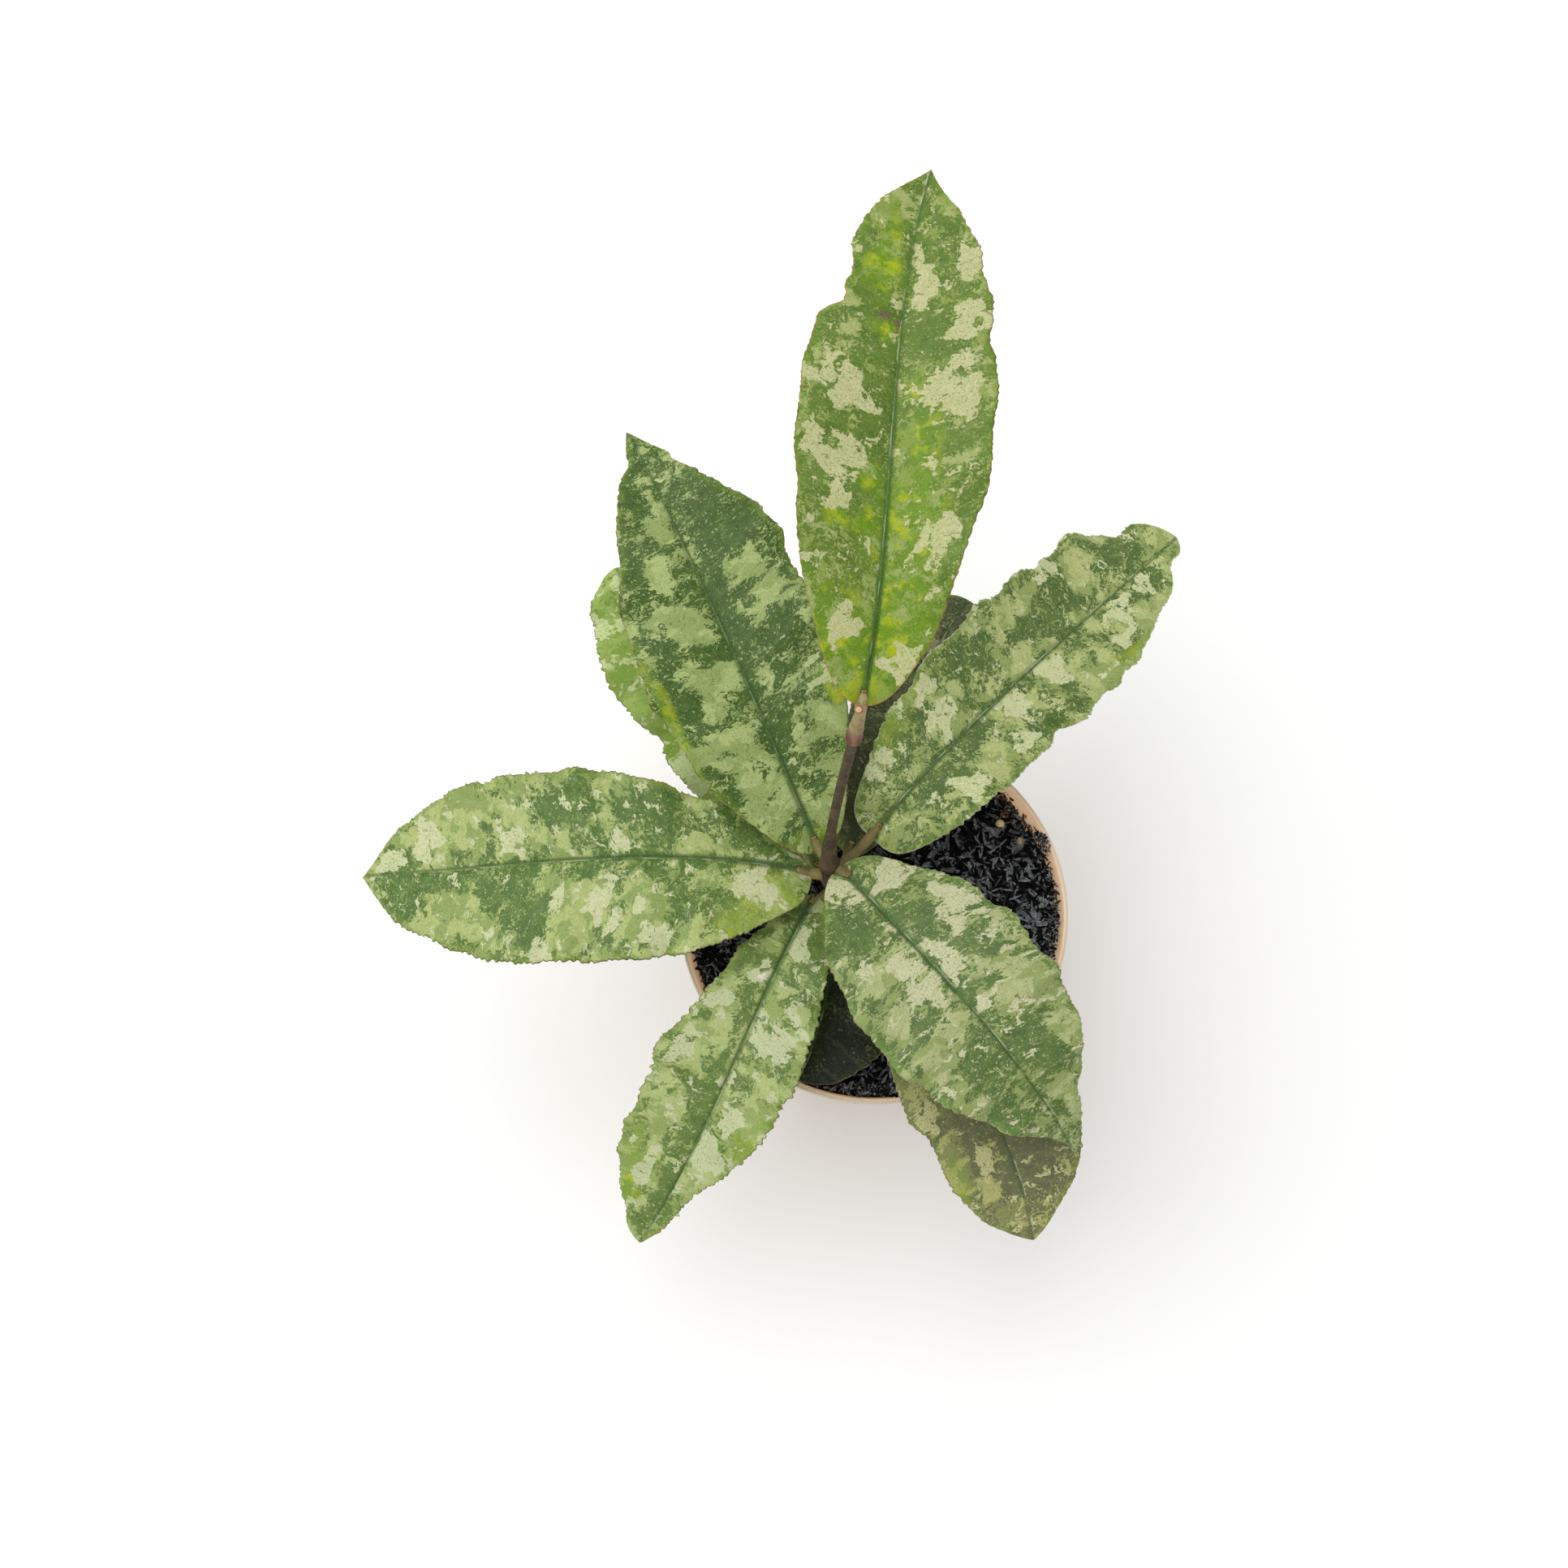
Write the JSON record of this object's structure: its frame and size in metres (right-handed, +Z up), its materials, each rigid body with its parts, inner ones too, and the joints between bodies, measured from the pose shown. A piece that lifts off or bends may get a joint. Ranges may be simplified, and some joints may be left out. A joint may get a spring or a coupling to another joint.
{
  "type": "potted hoya undulata",
  "caption": "Climbing wax plant with long wavy-edged leaves, green splashed with pale silver, in a round tapered nursery pot of charred rice husk.",
  "frame": {"origin": "middle of the pot's underside, on the surface it stands on", "axes": "+Z up, +Y towards the back, where the long top leaf points, +X to the right seen from the front"},
  "size_m": [0.2367, 0.2612, 0.2407],
  "materials": {
    "pot": "moulded tan plastic, soft satin",
    "charred_husk": "loose black charred rice husk with a grey sheen",
    "stem": "smooth brown-purple young bark, olive petioles",
    "leaf": "waxy leathery leaf, dark green with pale green and silver splashes",
    "bead_yellow": "resin-coated fertiliser bead, yellow",
    "bead_green": "resin-coated fertiliser bead, dull green"
  },
  "bodies": {
    "root": {"pot": "pot", "potting_mix": "charred_husk", "main_stem": "stem", "leaf_top": "leaf", "leaf_back_left": "leaf", "leaf_low_left": "leaf", "leaf_left": "leaf", "leaf_front_left": "leaf", "leaf_front_right": "leaf", "leaf_low_front": "leaf", "leaf_back_right": "leaf", "leaf_low_back": "leaf", "leaf_lowest": "leaf", "fertiliser_bead_1": "bead_yellow", "fertiliser_bead_2": "bead_yellow", "fertiliser_bead_3": "bead_green"}
  },
  "joints": []
}
